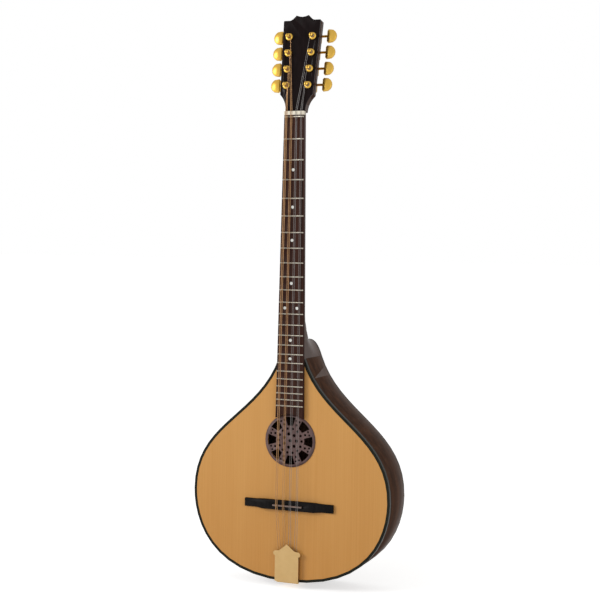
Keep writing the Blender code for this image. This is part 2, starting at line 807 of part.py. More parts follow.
def make_end_pin():
    place = Matrix.Translation((0, PIN_Y, TAIL_Z)) @ Matrix.Rotation(math.pi, 4, "X")
    head = 2 * GAP + PLATE_THICK
    profile = [
        (PIN_TIP_RADIUS, -PIN_LONG),
        (PIN_RADIUS, 0),
        (PIN_RADIUS, head),
        (PIN_HEAD_RADIUS, head),
        (PIN_HEAD_RADIUS, head + 0.3 * PIN_HEAD_LONG),
        (0.75 * PIN_HEAD_RADIUS, head + 0.55 * PIN_HEAD_LONG),
        (PIN_HEAD_RADIUS, head + 0.8 * PIN_HEAD_LONG),
        (0.85 * PIN_HEAD_RADIUS, head + PIN_HEAD_LONG),
    ]
    bm = bmesh.new()
    add_turned(bm, profile, 16, place)
    pin = finish("end_pin", bm, ebony("ebony_pin"))
    smooth(pin, 50)
    return pin


def nose_half(below):
    """The nose's half width, this far below its tip."""
    line = nose_points()
    for one, two in zip(line, line[1:]):
        if two.y <= NOSE_Z - below <= one.y:
            return one.x + (two.x - one.x) * (one.y - NOSE_Z + below) / (one.y - two.y)
    return 0.0 if below < 0 else JOINT_HALF


def neck_half(z):
    return BOARD_HALF_NUT + (JOINT_HALF - BOARD_HALF_NUT) * z / JOINT_Z


def heel_share(z):
    """0 at the top of the heel's cove, 1 at the nose and below."""
    return min(max((NOSE_Z + HEEL_COVE - z) / HEEL_COVE, 0.0), 1.0)


def neck_section(z):
    """Half of the neck's section at a height, from its edge under the board to its lowest point."""
    shaft = TOP_Y + NECK_DEEP_NUT + (NECK_DEEP_HEEL - NECK_DEEP_NUT) * z / JOINT_Z
    share = heel_share(z)
    tip = shaft + (BACK_INNER_Y - shaft) * (1 - math.sqrt(1 - share**2))
    points = []
    for i in range(9):
        angle = math.pi / 2 * i / 8
        y = TOP_Y + (tip - TOP_Y) * math.sin(angle)
        round_x = neck_half(z) * math.cos(angle)
        drop = max(y - shaft, 0.0) / (BACK_INNER_Y - shaft)
        crest = NOSE_Z + HEEL_COVE * (1 - math.sqrt(1 - (1 - drop) ** 2))
        keel_x = neck_half(z) if drop == 0 else neck_half(z) * nose_half(crest - z) / JOINT_HALF
        blend = share * share * (3 - 2 * share)
        points.append((max(round_x + (keel_x - round_x) * blend, HEEL_TIP), y))
    return points


def make_neck():
    """Shaft, heel and head core in one piece of wood, with the tuners' holes."""
    levels = [0.0] + [JOINT_Z * i / 5 for i in range(1, 4)]
    levels += [NOSE_Z + HEEL_COVE * share for share in (1, 0.75, 0.5, 0.3, 0.16, 0.07, 0.02)]
    levels += [NOSE_Z - NOSE_LONG * share for share in (0.03, 0.12, 0.3, 0.6, 1)]
    rings = []
    for share in (1, 0.5, 0):
        run = VOLUTE_START + VOLUTE_LONG * share
        top = VOLUTE_SUNK + VOLUTE_RISE * share
        low = VOLUTE_DEEP - VOLUTE_DROP * share**2
        half = BOARD_HALF_NUT - VOLUTE_IN * share
        face = HEAD_BELOW_BOARD + run * math.tan(HEAD_PITCH)
        angles = [math.pi * i / 16 for i in range(17)]
        rings.append([(half * math.cos(a), face + top + (low - top) * math.sin(a), run) for a in angles])
    for z in levels:
        right = neck_section(z)
        left = [(-x, y) for x, y in reversed(right)]
        half_ring = right[:-1] + [(0, right[-1][1])] + left[1:]
        if right[-1][0] > 2 * HEEL_TIP:
            half_ring = right + left[1:]
        rings.append([(x, y, z) for x, y in half_ring])
    bm = bmesh.new()
    add_rings(bm, rings)
    neck = finish("neck", bm, walnut("neck_wood"))
    bm = bmesh.new()
    add_slab(bm, head_outline(), -HEAD_THICK, -HEADPLATE_THICK - GAP)
    bm.transform(HEAD_FRAME)
    boolean(neck, cutter("join_head", bm), "UNION")
    bm = bmesh.new()
    wide = 1.5 * BOARD_HALF_NUT
    add_box(bm, (-wide, -5 * MM, -MM), (wide, TOP_Y, NUT_Z + GAP))
    boolean(neck, cutter("cut_nut_seat", bm))
    boolean(neck, post_cutter("cut_neck_posts"))
    smooth(neck)
    return neck


def head_outline():
    """The head's outline in its own frame, right side then left."""
    flare = bezier(
        (HEAD_HALF_START, HEAD_START),
        (HEAD_HALF_START, HEAD_START + 0.45 * (HEAD_LOW - HEAD_START)),
        (0.6 * HEAD_HALF_START + 0.4 * HEAD_HALF_LOW, HEAD_LOW - 0.25 * (HEAD_LOW - HEAD_START)),
        (HEAD_HALF_LOW, HEAD_LOW),
        6,
    )
    right = [(p.x, p.y) for p in flare]
    right += [(HEAD_HALF_TOP, HEAD_TOP - MM), (HEAD_HALF_TOP - MM, HEAD_TOP)]
    valley = (HEAD_HALF_TOP + HORN_OUT) / 2
    right += [(valley, HEAD_TOP)]
    sweep = bezier(
        (valley, HEAD_TOP),
        (0.75 * valley + 0.25 * HORN_OUT, HEAD_TOP),
        (1.35 * HORN_OUT, HEAD_TOP + 0.45 * HORN_UP),
        (HORN_OUT, HEAD_TOP + HORN_UP),
        4,
    )
    right += [(p.x, p.y) for p in sweep[1:]]
    right += [(0.5 * HORN_OUT, HEAD_TOP + SCOOP_UP + 0.3 * (HORN_UP - SCOOP_UP))]
    return right + [(0, HEAD_TOP + SCOOP_UP)] + [(-x, y) for x, y in reversed(right)]


def make_headplate():
    bm = bmesh.new()
    add_slab(bm, head_outline(), -HEADPLATE_THICK, 0)
    bm.transform(HEAD_FRAME)
    plate = finish("headplate", bm, ebony("ebony_headplate"))
    boolean(plate, post_cutter("cut_plate_posts"))
    return plate


def post_cutter(name):
    bm = bmesh.new()
    radius = BUSHING_SLEEVE + GAP
    for index in range(len(STRING_RADII)):
        x, y = post_place(index)
        place = HEAD_FRAME @ Matrix.Translation((x, y, 0))
        add_turned(bm, [(radius, -HEAD_THICK - 5 * MM), (radius, 5 * MM)], 12, place)
    return cutter(name, bm)


def post_place(index):
    """A post's place on the head. The outer strings go to the posts nearest the nut."""
    side = -1 if index < TUNERS_EACH_SIDE else 1
    row = index if side < 0 else 2 * TUNERS_EACH_SIDE - 1 - index
    share = row / (TUNERS_EACH_SIDE - 1)
    out = POST_OUT_LOW + (POST_OUT_TOP - POST_OUT_LOW) * share
    return side * out, TUNER_FIRST + TUNER_PITCH * row


def wheel_outline(turn):
    """The worm wheel's outline, with a gap between teeth facing the worm."""
    pitch = 2 * math.pi / WHEEL_TEETH
    tooth = (WORM_PITCH / 2 - TOOTH_PLAY) / WHEEL_RADIUS
    root = WHEEL_RADIUS - TOOTH_IN
    tip = WHEEL_RADIUS + TOOTH_OUT
    points = []
    for i in range(WHEEL_TEETH):
        middle = math.pi / 2 + (i + 0.5) * pitch + turn
        for radius, part in ((root, -0.75), (tip, -0.3), (tip, 0.3), (root, 0.75)):
            angle = middle + part * tooth
            points.append((radius * math.cos(angle), radius * math.sin(angle)))
    return points


def post_mesh():
    """A string post with its worm wheel: z along the post, 0 at the head's face."""
    waist = BUSHING_HIGH + 0.4 * MM
    neck = POST_HIGH - 2.2 * MM
    foot = -WHEEL_DEPTH - WHEEL_WIDE / 2
    profile = [
        (POST_RADIUS - MM, foot - 2.4 * MM),
        (POST_RADIUS - MM, foot),
        (POST_RADIUS, foot + 0.2 * MM),
        (POST_RADIUS, waist),
        (POST_WAIST, waist + 0.3 * MM),
        (POST_WAIST, neck),
        (POST_HEAD, neck + 0.6 * MM),
        (POST_HEAD, POST_HIGH - 0.4 * MM),
        (POST_HEAD - 0.4 * MM, POST_HIGH),
    ]
    bm = bmesh.new()
    add_turned(bm, profile, 12)
    post = finish("post_pattern", bm, gold("gold_posts"))
    bm = bmesh.new()
    lead = WORM_PITCH / (2 * math.pi * WORM_RADIUS)
    twist = lead * WHEEL_WIDE / 2 / WHEEL_RADIUS
    rings = []
    for side in (-1, 1):
        height = -WHEEL_DEPTH + side * WHEEL_WIDE / 2
        rings.append([(x, y, height) for x, y in wheel_outline(side * twist)])
    add_rings(bm, rings)
    boolean(post, cutter("join_wheel", bm), "UNION")
    bm = bmesh.new()
    wide = POST_SLOT_WIDE / 2
    add_box(bm, (-wide, -2 * POST_HEAD, POST_HIGH - POST_SLOT_DEEP), (wide, 2 * POST_HEAD, POST_HIGH + MM))
    boolean(post, cutter("cut_post_slot", bm))
    return baked(post)


def add_worm(bm):
    """The worm about x, right-handed: each ring is the one before, turned on along its thread."""
    root = WORM_RADIUS - TOOTH_IN
    tip = WORM_RADIUS + TOOTH_OUT
    turn = WORM_STEPS // WORM_RINGS
    rows = round(WORM_TURNS * WORM_RINGS)
    rings = []
    for row in range(rows + 1):
        x = WORM_PITCH * (row - rows / 2) / WORM_RINGS
        ring = []
        for step in range(WORM_STEPS):
            phase = (x / WORM_PITCH - step / WORM_STEPS + 1) % 1 - 0.5
            share = min(max((0.25 - abs(phase)) * 6, 0), 1)
            radius = root + (tip - root) * share
            angle = 2 * math.pi * step / WORM_STEPS
            ring.append(bm.verts.new((x, radius * math.cos(angle), radius * math.sin(angle))))
        rings.append(ring)
    for one, two in zip(rings, rings[1:]):
        for i in range(WORM_STEPS):
            j = (i + 1) % WORM_STEPS
            bm.faces.new((one[i], one[j], two[(j + turn) % WORM_STEPS], two[(i + turn) % WORM_STEPS]))
    bm.faces.new(rings[0])
    bm.faces.new(rings[-1])


def key_mesh():
    """A key about x: worm, shaft and button, 0 over the post's axis, the button outwards."""
    bm = bmesh.new()
    add_worm(bm)
    key = finish("key_pattern", bm, gold("gold_keys"))
    turn = Matrix.Rotation(math.pi / 2, 4, "Y")
    bm = bmesh.new()
    collar = CASE_HALF - CASE_WALL - 1.4 * MM
    profile = [
        (KEY_STUB, -CASE_HALF + CASE_WALL + RUN),
        (KEY_STUB, collar),
        (KEY_SHAFT, collar + 0.3 * MM),
        (KEY_SHAFT, BUTTON_FROM_POST + 4 * MM),
    ]
    add_turned(bm, profile, 10, turn)
    boolean(key, cutter("join_shaft", bm), "UNION")
    bm = bmesh.new()
    add_slab(bm, button_outline(), -BUTTON_THICK / 2, BUTTON_THICK / 2)
    flat = [e for e in bm.edges if abs(e.verts[0].co.z - e.verts[1].co.z) < 1e-9]
    bmesh.ops.bevel(bm, geom=flat, offset=BUTTON_EDGE, segments=1, affect="EDGES")
    boolean(key, cutter("join_button", bm), "UNION")
    return baked(key)


def button_outline():
    """A half-moon with its straight side to the head."""
    inner = BUTTON_FROM_POST
    points = [(inner + 2 * MM, -BUTTON_HALF), (inner, -BUTTON_HALF + 2.6 * MM)]
    points += [(inner, BUTTON_HALF - 2.6 * MM), (inner + 2 * MM, BUTTON_HALF)]
    for i in range(7):
        angle = math.radians(62 - 124 * i / 6)
        wide = BUTTON_WIDE - 4.4 * MM
        points.append((inner + 4.4 * MM + wide * math.cos(angle), BUTTON_HALF * math.sin(angle) / 0.97))
    return points


def bushing_mesh():
    bore = POST_RADIUS + RUN
    profile = [
        (bore, -BUSHING_DEEP),
        (BUSHING_SLEEVE, -BUSHING_DEEP),
        (BUSHING_SLEEVE, GAP),
        (BUSHING_WASHER, GAP),
        (BUSHING_WASHER, GAP + 0.8 * MM),
        (BUSHING_COLLAR, BUSHING_HIGH),
        (bore, BUSHING_HIGH),
    ]
    bm = bmesh.new()
    add_turned(bm, profile, 14, closed=True)
    return baked(finish("bushing_pattern", bm, gold("gold_bushings")))


def case_mesh():
    """The worm's case, open to the head, with the ear that its screw goes through."""
    face = -HEAD_THICK - GAP
    low = -WHEEL_RADIUS - TOOTH_OUT - CASE_ROOM - CASE_WALL
    high = WORM_OFFSET + WORM_RADIUS + TOOTH_OUT + CASE_ROOM - 0.5 * MM + CASE_WALL
    bm = bmesh.new()
    corner = 2 * MM
    half = CASE_HALF
    outline = [(half, low + corner), (half, high - corner), (half - corner, high), (-half + corner, high)]
    outline += [(-half, high - corner), (-half, low + corner), (-half + corner, low), (half - corner, low)]
    add_slab(bm, outline, face - CASE_DEEP, face)
    roof = [e for e in bm.edges if max(v.co.z for v in e.verts) < face - CASE_DEEP + 1e-6]
    bmesh.ops.bevel(bm, geom=roof, offset=MM, segments=1, affect="EDGES")
    case = finish("case_pattern", bm, gold("gold_cases"))
    bm = bmesh.new()
    ear = low - CASE_EAR_LONG
    add_box(bm, (-CASE_EAR_HALF, ear, face - CASE_EAR_THICK), (CASE_EAR_HALF, low + 0.6 * MM, face))
    boolean(case, cutter("join_ear", bm), "UNION")
    bm = bmesh.new()
    inside = CASE_HALF - CASE_WALL
    low_in = low + CASE_WALL
    add_box(bm, (-inside, low_in, face - CASE_DEEP + CASE_WALL), (inside, high - CASE_WALL, face + MM))
    place = Matrix.Translation((0, ear + 0.45 * CASE_EAR_LONG, 0))
    add_turned(bm, [(CASE_SCREW, face - 5 * MM), (CASE_SCREW, face + MM)], 8, place)
    boolean(case, cutter("cut_case", bm))
    bm = bmesh.new()
    place = Matrix.Translation((0, WORM_OFFSET, -WHEEL_DEPTH)) @ Matrix.Rotation(math.pi / 2, 4, "Y")
    hole = KEY_SHAFT + RUN
    add_turned(bm, [(hole, inside - MM), (hole, CASE_HALF + 2 * MM)], 10, place)
    boolean(case, cutter("cut_case_hole", bm))
    return baked(case)


def mirrored(mesh):
    """A copy for the left side of the head."""
    bm = bmesh.new()
    bm.from_mesh(mesh)
    bm.transform(Matrix.Diagonal((-1, 1, 1, 1)))
    bmesh.ops.reverse_faces(bm, faces=bm.faces)
    copy = mesh.copy()
    bm.to_mesh(copy)
    bm.free()
    return copy


def make_tuners():
    """Each tuner is a case, a post, a key and a bushing on an empty at its post's axis."""
    patterns = {
        "tuner_case": (case_mesh(), Vector()),
        "tuner_post": (post_mesh(), Vector()),
        "tuner_key": (key_mesh(), Vector((0, WORM_OFFSET, -WHEEL_DEPTH))),
        "tuner_bushing": (bushing_mesh(), Vector()),
    }
    tuners = []
    for index in range(len(STRING_RADII)):
        x, y = post_place(index)
        stand = bpy.data.objects.new(f"tuner_{index + 1}", None)
        stand.empty_display_size = 10 * MM
        stand.matrix_world = HEAD_FRAME @ Matrix.Translation((x, y, 0))
        bpy.context.scene.collection.objects.link(stand)
        for name, (mesh, offset) in patterns.items():
            shape = mesh.copy() if x > 0 else mirrored(mesh)
            piece = bpy.data.objects.new(f"{name}_{index + 1}", shape)
            bpy.context.scene.collection.objects.link(piece)
            piece.parent = stand
            piece.location = offset
            smooth(piece, 40)
            tuners.append(piece)
    return tuners


def string_route(index):
    """The centre line: hook loop, saddle, zero fret, nut, then the turns on the post."""
    radius = STRING_RADII[index]
    inner = 1 if hook_x(index) < 0 else -1
    turn = HOOK_RADIUS + GAP + radius
    route = []
    for i in range(STRING_LOOP_STEPS + 1):
        angle = math.radians(250 * (STRING_LOOP_STEPS - i) / STRING_LOOP_STEPS)
        x = hook_x(index) + inner * turn * math.cos(angle)
        route.append(Vector((x, STRING_HOOK_Y, HOOK_Z - turn * math.sin(angle))))
    x = string_x(index, COURSE_AT_SADDLE, PAIR_AT_SADDLE)
    route.append(Vector((x, SADDLE_FACE_Y - GAP - radius, SADDLE_Z)))
    x = string_x(index, COURSE_AT_NUT, PAIR_AT_NUT)
    route.append(Vector((x, string_y(index), 0)))
    leave = Vector((x, string_y(index), NUT_Z))
    route.append(leave)
    return route + winding(index, HEAD_FRAME.inverted() @ leave)


def winding(index, leave):
    """From the nut to the inner side of the post, then round and up it."""
    radius = STRING_RADII[index]
    x, y = post_place(index)
    away = POST_WAIST + WIND_GAP + radius
    height = BUSHING_HIGH + 2 * GAP + radius
    reach = Vector((leave.x - x, leave.y - y))
    side = 1 if x < 0 else -1
    start = math.atan2(reach.y, reach.x) + side * math.acos(away / reach.length)
    steps = round(WIND_TURNS * WIND_STEPS)
    points = []
    for i in range(steps + 1):
        angle = start + side * 2 * math.pi * i / WIND_STEPS
        rise = height + (2 * radius + WIND_SPACE) * i / WIND_STEPS
        points.append(HEAD_FRAME @ Vector((x + away * math.cos(angle), y + away * math.sin(angle), rise)))
    return points


def least_gap(route, radius, apart):
    """The least space between stretches of one string that are not next to each other."""
    found = 1.0
    for i, one in enumerate(route):
        for two in route[i + apart :]:
            found = min(found, (one - two).length - 2 * radius)
    return found


def make_strings():
    for index, radius in enumerate(STRING_RADII):
        route = string_route(index)
        curve = bpy.data.curves.new(f"string_{index + 1}", "CURVE")
        curve.dimensions = "3D"
        curve.bevel_depth = radius
        curve.bevel_resolution = 1
        curve.use_fill_caps = True
        line = curve.splines.new("POLY")
        line.points.add(len(route) - 1)
        for point, place in zip(line.points, route):
            point.co = (*place, 1)
        make = wound_wire if radius > 0.35 * MM else plain_wire
        curve.materials.append(make(f"string_{index + 1}_wire"))
        string = bpy.data.objects.new(f"string_{index + 1}", curve)
        bpy.context.scene.collection.objects.link(string)
        space = least_gap(route[-round(WIND_TURNS * WIND_STEPS) :], radius, WIND_STEPS // 2)
        print(f"string_{index + 1}: least gap between its turns {space / MM:.2f} mm")


def main():
    clear_scene()
    make_soundboard()
    make_back_plate()
    make_bindings()
    make_side("side_left", -1)
    make_side("side_right", 1)
    make_blocks()
    make_brace("brace_upper", ROSE_Z + HOLE_RADIUS + BRACE_ABOVE_HOLE)
    make_brace("brace_lower", ROSE_Z - HOLE_RADIUS - BRACE_BELOW_HOLE)
    make_rose()
    make_fingerboard()
    make_nut()
    make_bridge()
    make_tailpiece_base()
    make_tailpiece_cover()
    make_end_pin()
    make_neck()
    make_headplate()
    make_tuners()
    make_strings()


main()
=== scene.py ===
"""Looks of the Irish bouzouki: finishes, inlay and screws, daylight studio and the photograph's camera."""

import json
import math

import bmesh
import bpy
from mathutils import Euler, Matrix, Vector


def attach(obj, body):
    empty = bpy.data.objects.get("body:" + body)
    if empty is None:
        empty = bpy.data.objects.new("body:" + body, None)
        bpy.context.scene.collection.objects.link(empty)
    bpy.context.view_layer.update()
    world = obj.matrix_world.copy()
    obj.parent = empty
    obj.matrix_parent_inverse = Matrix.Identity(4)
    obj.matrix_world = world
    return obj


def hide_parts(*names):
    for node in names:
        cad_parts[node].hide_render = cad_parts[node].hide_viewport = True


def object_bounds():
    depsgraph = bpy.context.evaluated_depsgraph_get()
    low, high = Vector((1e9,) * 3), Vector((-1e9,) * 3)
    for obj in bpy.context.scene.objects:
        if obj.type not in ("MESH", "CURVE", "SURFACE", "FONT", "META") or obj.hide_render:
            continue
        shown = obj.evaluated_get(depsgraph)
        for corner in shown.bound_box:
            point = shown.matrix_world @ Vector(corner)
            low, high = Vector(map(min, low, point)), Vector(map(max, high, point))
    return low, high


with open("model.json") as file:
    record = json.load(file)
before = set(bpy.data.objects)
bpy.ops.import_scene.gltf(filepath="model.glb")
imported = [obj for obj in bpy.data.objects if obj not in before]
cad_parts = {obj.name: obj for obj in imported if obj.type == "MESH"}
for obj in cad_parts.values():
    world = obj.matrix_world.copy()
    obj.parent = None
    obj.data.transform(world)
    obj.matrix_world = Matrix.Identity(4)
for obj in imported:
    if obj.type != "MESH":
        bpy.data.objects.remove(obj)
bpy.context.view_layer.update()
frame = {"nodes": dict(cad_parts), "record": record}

MM = 0.001
INSTRUMENT = "instrument"
RECORD = frame["record"]
BODY_OF = {node: body for body, nodes in RECORD["behaviour"]["bodies"].items() for node in nodes}
WOUND_STRINGS = range(1, 5)
PLAIN_STRINGS = range(5, 9)
TUNERS = range(1, 9)
TUNERS_EACH_SIDE = 4

# Smooth shading: nodes with flat faces or square edges keep their own meshes
FLAT_NODES = (
    "soundboard", "back_plate", "neck_block", "tail_block", "brace_upper", "brace_lower",
    "nut", "saddle", "tailpiece_base", "tailpiece_cover",
)
WELD = 0.002 * MM
ROUND_BELOW = math.radians(38)
DETAIL_ROUND_BELOW = math.radians(35)

# Colours, each a pair between which the finish varies unless it names one alone
SPRUCE = ((0.65, 0.335, 0.098), (0.45, 0.185, 0.03))
RIB_WOOD = ((0.105, 0.047, 0.026), (0.026, 0.015, 0.011))
NECK_WOOD = ((0.085, 0.04, 0.026), (0.035, 0.018, 0.013))
INSIDE_WOOD = ((0.62, 0.45, 0.27), (0.46, 0.31, 0.17))
BOARD_WOOD = ((0.075, 0.03, 0.021), (0.014, 0.009, 0.008))
FRET_METAL = (0.5, 0.46, 0.38)
BINDING_BLACK = (0.010, 0.011, 0.008)
EBONY_BLACK = (0.007, 0.006, 0.006)
HEADPLATE_BLACK = (0.006, 0.003, 0.003)
STREAK_LIFT = 2.2
ROSE_WOOD = ((0.13, 0.066, 0.058), (0.06, 0.03, 0.028))
NUT_BONE = ((0.84, 0.78, 0.66), (0.72, 0.64, 0.5))
# The saddle's bone is coloured dark brown
SADDLE_BONE = ((0.2, 0.14, 0.115), (0.13, 0.085, 0.07))
PALE_BRASS = ((0.5, 0.345, 0.16), (0.45, 0.3, 0.13))
GOLD = ((0.66, 0.42, 0.085), (0.56, 0.33, 0.055))
BRONZE = ((0.46, 0.27, 0.13), (0.31, 0.165, 0.075))
STEEL = ((0.3, 0.28, 0.27), (0.21, 0.2, 0.195))
PEARL = ((0.9, 0.88, 0.82), (0.66, 0.7, 0.68))
FLOOR_WHITE = ((0.82, 0.82, 0.82), (0.84, 0.84, 0.84))
WHITE = (1.0, 1.0, 1.0, 1.0)

# Sizes and places that the finishes read
COAT_ROUGHNESS = 0.12
TOP_DARKENS_BELOW = -420 * MM
GRAIN_LINES = 3900
FRET_PROUD = 0.05 * MM
WINDINGS_PER_METRE = 2500

# Fingerboard inlay
SCALE = 660 * MM
DOT_RADIUS = 2.6 * MM
DOT_PROUD = 0.08 * MM
DOT_DEEP = 0.4 * MM
DOT_EASED = 0.9
DOT_SIDES = 32
SINGLE_DOTS = (3, 5, 7, 10, 15, 17)
DOUBLE_DOT = 12
DOUBLE_DOT_OUT = 11 * MM

# Head, and the screws through the ears of the tuner cases, from the lowest up
HEAD_FRAME = Matrix.Translation((0, 2 * MM, 0)) @ Matrix.Rotation(math.radians(80), 4, "X")
FIRST_EAR = Vector((19.4 * MM, 44.5 * MM, -16.35 * MM))
EAR_STEP = Vector((0.5333 * MM, 28.2 * MM, 0))
SCREW_RADIUS = 2.1 * MM
SCREW_HIGH = 1.0 * MM
SCREW_SIDES = 20
SCREW_BANDS = 12
SCREW_WELD = 0.001 * MM
SCREW_LEAST_EDGE = 0.0001 * MM

# Studio
FLOOR_HALF = 80.0
FLOOR_GAP = 0.5 * MM
FLOOR_ROUGHNESS = 0.95
FLOOR_GLOW = 0.62
DAYLIGHT = (1.0, 0.99, 0.97, 1.0)
DAYLIGHT_LEVEL = 0.5
BACKDROP_LEVEL = 1.0
LAMPS_AIM = Vector((0, 0, -0.5))
LAMPS = (("key_lamp", (-2.3, -2.1, 0.7), 1.2, 0.5), ("fill_lamp", (2.4, -1.6, 0.2), 1.6, 0.12))

# The photograph's camera, found by fitting the frets, the bridge and the body's outline
CAMERA_PLACE = Vector((0.782, -2.012, -0.226))
CAMERA_TURN_DEGREES = (87.8725, -0.9726, 20.8760)
CAMERA_FOCAL_PX = 1287.0
PHOTO_PX = 600
SENSOR_MM = 36.0
NEAREST_SEEN = 0.05


class Wire:
    """A shader value that takes part in sums with numbers and other wires."""

    def __init__(self, nodes, socket):
        self.nodes = nodes
        self.socket = socket

    def __add__(self, other):
        return self.nodes.maths("ADD", self, other)

    def __radd__(self, other):
        return self.nodes.maths("ADD", other, self)

    def __sub__(self, other):
        return self.nodes.maths("SUBTRACT", self, other)

    def __rsub__(self, other):
        return self.nodes.maths("SUBTRACT", other, self)

    def __mul__(self, other):
        return self.nodes.maths("MULTIPLY", self, other)

    def __rmul__(self, other):
        return self.nodes.maths("MULTIPLY", other, self)

    def above(self, limit):
        return self.nodes.maths("GREATER_THAN", self, limit)

    def at_most(self, limit):
        return self.nodes.maths("MINIMUM", self, limit)

    def size(self):
        return self.nodes.maths("ABSOLUTE", self)

    def wave(self):
        """The sine of this value, brought to between 0 and 1."""
        return self.nodes.maths("SINE", self) * 0.5 + 0.5


class Nodes:
    """A shader node tree, with one way to add a node and one to feed a socket."""

    def __init__(self, tree):
        self.tree = tree

    def node(self, kind, feeds=None, **settings):
        """A new node with its settings made, and then values or links for its sockets by name or number."""
        node = self.tree.nodes.new(kind)
        for name, value in settings.items():
            setattr(node, name, value)
        for socket, value in (feeds or {}).items():
            self.join(value, node.inputs[socket])
        return node

    def join(self, value, slot):
        if isinstance(value, Wire):
            value = value.socket
        if isinstance(value, bpy.types.NodeSocket):
            self.tree.links.new(value, slot)
        else:
            slot.default_value = value

    def maths(self, operation, *values):
        node = self.node("ShaderNodeMath", dict(enumerate(values)), operation=operation)
        return Wire(self, node.outputs[0])

    def backdrop_rays(self):
        """1 on the rays that show the plain background: from the camera, off gloss and through glass."""
        path = self.node("ShaderNodeLightPath")
        kinds = ("Is Camera Ray", "Is Glossy Ray", "Is Transmission Ray")
        camera, glossy, through = (Wire(self, path.outputs[kind]) for kind in kinds)
        return (camera + glossy + through).at_most(1.0)


class Finish(Nodes):
    """One material and the node tree that makes it."""

    def __init__(self, name, metallic=0.0, coat=0.0, shine=0.5):
        self.material = bpy.data.materials.new(name)
        self.material.use_nodes = True
        super().__init__(self.material.node_tree)
        self.shader = self.tree.nodes["Principled BSDF"]
        self.set("Metallic", metallic)
        self.set("Coat Weight", coat)
        self.set("Coat Roughness", COAT_ROUGHNESS)
        self.set("Specular IOR Level", shine)
        place = self.node("ShaderNodeTexCoord").outputs["Object"]
        split = self.node("ShaderNodeSeparateXYZ", {0: place})
        self.x, self.y, self.z = (Wire(self, out) for out in split.outputs)

    def set(self, name, value):
        """Sets one of the shader's own sockets, or links a value to it."""
        self.join(value, self.shader.inputs[name])

    def noise(self, across, deep, along, detail=4.0):
        """Noise drawn out by a different amount along each axis, in cycles a metre."""
        scaled = {0: self.x * across, 1: self.y * deep, 2: self.z * along}
        place = self.node("ShaderNodeCombineXYZ", scaled).outputs[0]
        feeds = {"Vector": place, "Scale": 1.0, "Detail": detail}
        return Wire(self, self.node("ShaderNodeTexNoise", feeds).outputs[0])

    def blend(self, share, low, high):
        """A colour between two colours, each given as three numbers or as a socket."""
        mix = self.node("ShaderNodeMix", {0: share}, data_type="RGBA", clamp_factor=True)
        slots = [slot for slot in mix.inputs if slot.type == "RGBA"]
        for colour, slot in zip((low, high), slots):
            self.join((*colour, 1.0) if isinstance(colour, tuple) else colour, slot)
        return next(out for out in mix.outputs if out.type == "RGBA")

    def bump(self, height, distance, strength=0.4):
        feeds = {"Strength": strength, "Distance": distance, "Height": height}
        self.set("Normal", self.node("ShaderNodeBump", feeds).outputs[0])


def spruce_top():
    """Straight grain from the middle joint outwards, under a warm varnish; the colour grows darker towards
    the tail.
    """
    finish = Finish("spruce_top", coat=0.05, shine=0.25)
    grain = finish.noise(900, 90, 3.0)
    wander = finish.noise(40, 10, 1.5)
    lines = (finish.x.size() * GRAIN_LINES + wander * 22).wave()
    broad = finish.noise(26, 8, 4.0, 2.0)
    # the top's colour is made darker towards the tail
    to_tail = (TOP_DARKENS_BELOW - finish.z) * 0.9
    share = lines * 0.16 + grain * 0.5 + broad * 0.35 + to_tail - 0.35
    finish.set("Base Color", finish.blend(share, *SPRUCE))
    finish.set("Roughness", grain * 0.12 + 0.28)
    finish.bump(grain, 0.05 * MM, 0.25)
    return finish.material


def figured_wood(name, colours, shine, across=70, along=2.2):
    """Wood with long figure and fine pores, for the ribs, the back, the neck and the insides."""
    finish = Finish(name, shine=shine)
    figure = finish.noise(across, across, along)
    pores = finish.noise(900, 900, 24)
    share = figure * 1.5 + pores * 0.5 - 0.55
    finish.set("Base Color", finish.blend(share, *colours))
    finish.set("Roughness", pores * 0.2 + 0.25)
    finish.bump(pores, 0.04 * MM, 0.3)
    return finish.material


def fingerboard_and_frets():
    """Striped rosewood; what stands proud of the board is the frets' metal."""
    finish = Finish("rosewood_and_frets", shine=0.05)
    stripes = finish.noise(330, 120, 2.4)
    pores = finish.noise(1600, 600, 40)
    wood = finish.blend(stripes * 2.0 + pores * 0.4 - 0.8, *BOARD_WOOD)
    fret = (0.0 - finish.y).above(FRET_PROUD)
    finish.set("Base Color", finish.blend(fret, wood, FRET_METAL))
    finish.set("Metallic", fret)
    finish.set("Roughness", pores * 0.2 + 0.3 - fret * 0.12)
    finish.bump(pores, 0.05 * MM, 0.3)
    return finish.material


def black_wood(name, roughness, coat, black):
    """Near-black wood or binding with faint brown streaks."""
    finish = Finish(name, coat=coat, shine=0.04)
    streaks = finish.noise(300, 300, 6)
    brown = tuple(STREAK_LIFT * part for part in black)
    finish.set("Base Color", finish.blend(streaks * 1.6 - 0.5, black, brown))
    finish.set("Roughness", streaks * 0.12 + roughness - 0.05)
    return finish.material


def rose_wood():
    finish = Finish("rose_wood_cut")
    grain = finish.noise(420, 420, 40)
    finish.set("Base Color", finish.blend(grain * 1.6 - 0.3, *ROSE_WOOD))
    finish.set("Roughness", grain * 0.2 + 0.4)
    finish.bump(grain, 0.08 * MM)
    return finish.material


def bone(name, colours):
    finish = Finish(name)
    cloud = finish.noise(160, 160, 160)
    finish.set("Base Color", finish.blend(cloud, *colours))
    finish.set("Roughness", cloud * 0.2 + 0.3)
    return finish.material


def plating(name, colours, roughness):
    """Plated metal with faint handling marks."""
    finish = Finish(name, metallic=1.0)
    marks = finish.noise(90, 90, 90, 3.0)
    finish.set("Base Color", finish.blend(marks * 1.4 - 0.2, *colours))
    finish.set("Roughness", marks * 0.12 + roughness - 0.06)
    finish.bump(finish.noise(1500, 1500, 200), 0.01 * MM, 0.08)
    return finish.material


